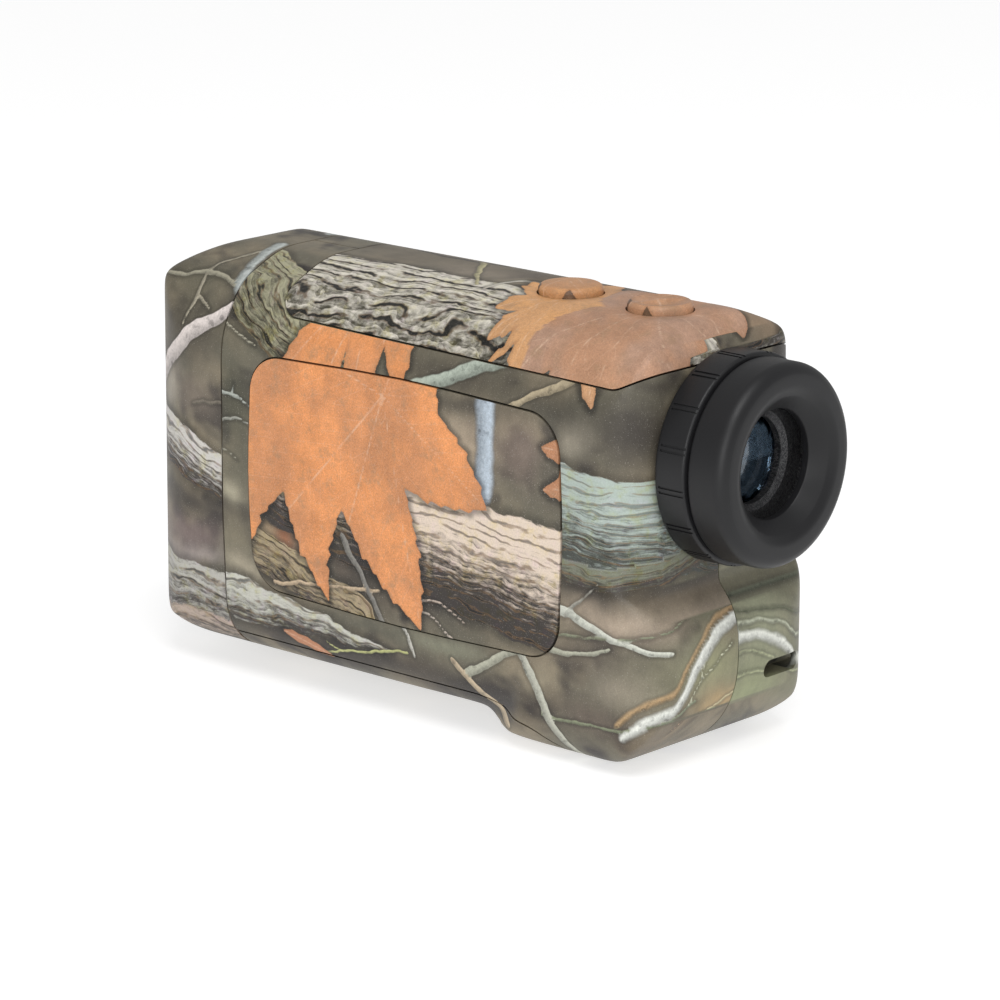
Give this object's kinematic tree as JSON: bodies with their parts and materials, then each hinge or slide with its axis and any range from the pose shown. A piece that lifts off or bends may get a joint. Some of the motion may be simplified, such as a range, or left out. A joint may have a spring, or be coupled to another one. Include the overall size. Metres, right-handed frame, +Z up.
{
  "type": "laser rangefinder",
  "caption": "Hand-held laser rangefinder: camouflage clamshell body, monocular eyepiece with diopter ring and rubber eyecup, top push buttons, belly battery door.",
  "frame": {"origin": "bottom centre of the bounding box, level with the foot of the grip lobe that the body stands on", "axes": "+X towards the target along the viewing axis, +Y the user's left, +Z up"},
  "size_m": [0.114, 0.0414, 0.0668],
  "materials": {
    "camo_shell": "satin water-transfer woodland print",
    "camo_bark": "satin water-transfer woodland print, bark and leaf",
    "camo_pad": "soft-touch rubber, woodland print with leaf",
    "camo_button": "satin water-transfer print",
    "black_rubber": "soft matte moulded",
    "black_plastic": "fine matte moulded",
    "black_anodised": "matte black anodised",
    "coated_glass": "multi-coated",
    "emitter_glass": "infrared coated",
    "prism_glass": "polished, ground edges",
    "circuit_board": "green solder mask",
    "component_black": "moulded epoxy",
    "gilt_metal": "gilt",
    "steel": "zinc plated",
    "spring_contact": "nickel plated",
    "silicone": "translucent silicone",
    "flex_film": "amber polyimide film",
    "battery_wrap": "plain shrink sleeve"
  },
  "bodies": {
    "housing": {"front_bezel": "camo_shell", "bezel_seal": "black_rubber", "left_shell": "camo_shell", "right_shell": "camo_shell", "top_cover": "camo_bark", "left_pad": "camo_pad", "right_pad": "camo_pad", "door_hinge_pin": "steel", "eyepiece_base": "black_plastic", "eyepiece_seal": "black_rubber", "objective_cell": "black_anodised", "objective_lens": "coated_glass", "objective_retainer": "black_anodised", "emitter_tube": "black_anodised", "emitter_lens": "emitter_glass", "emitter_retainer": "black_anodised", "laser_diode": "gilt_metal", "laser_board": "circuit_board", "prism_holder": "black_plastic", "half_penta_prism": "prism_glass", "roof_prism": "prism_glass", "reticle_display": "prism_glass", "detector_can": "gilt_metal", "detector_board": "circuit_board", "main_board": "circuit_board", "board_chips": "component_black", "button_board": "circuit_board", "tact_switches": "component_black", "flex_cable": "flex_film", "power_spring": "silicone", "mode_spring": "silicone", "battery": "battery_wrap", "battery_cradle": "black_plastic", "positive_contact": "spring_contact", "negative_contact": "spring_contact", "housing_screws": "steel", "cover_screws": "steel"},
    "power_button": {"power_button": "camo_button"},
    "mode_button": {"mode_button": "camo_button"},
    "diopter": {"diopter_ring": "black_plastic", "eyecup": "black_rubber"},
    "ocular": {"ocular_cell": "black_anodised", "guide_pin": "steel", "eye_lens": "coated_glass", "ocular_retainer": "black_anodised", "field_lens": "coated_glass"},
    "battery_door": {"battery_door": "camo_shell"}
  },
  "joints": [
    {"name": "power_press", "type": "slide", "parent": "housing", "child": "power_button", "axis": [0, 0, -1], "range_m": [0, 0.0006], "stiffness_N_per_m": 2500, "deforming": ["power_spring"]},
    {"name": "mode_press", "type": "slide", "parent": "housing", "child": "mode_button", "axis": [0, 0, -1], "range_m": [0, 0.0006], "stiffness_N_per_m": 2500, "deforming": ["mode_spring"]},
    {"name": "diopter_turn", "type": "hinge", "parent": "housing", "child": "diopter", "pos_m": [-0.0475, 0, 0.0456], "axis": [-1, 0, 0], "range_deg": [-150, 150]},
    {"name": "ocular_focus", "type": "slide", "parent": "housing", "child": "ocular", "axis": [1, 0, 0], "range_m": [-0.0015, 0.0015]},
    {"name": "door_swing", "type": "hinge", "parent": "housing", "child": "battery_door", "pos_m": [0.0354, 0, 0.00405], "axis": [0, -1, 0], "range_deg": [0, 95]}
  ],
  "couplings": [
    {"joint": "ocular_focus", "follows": "diopter_turn", "m_per_rad": 0.00057}
  ]
}
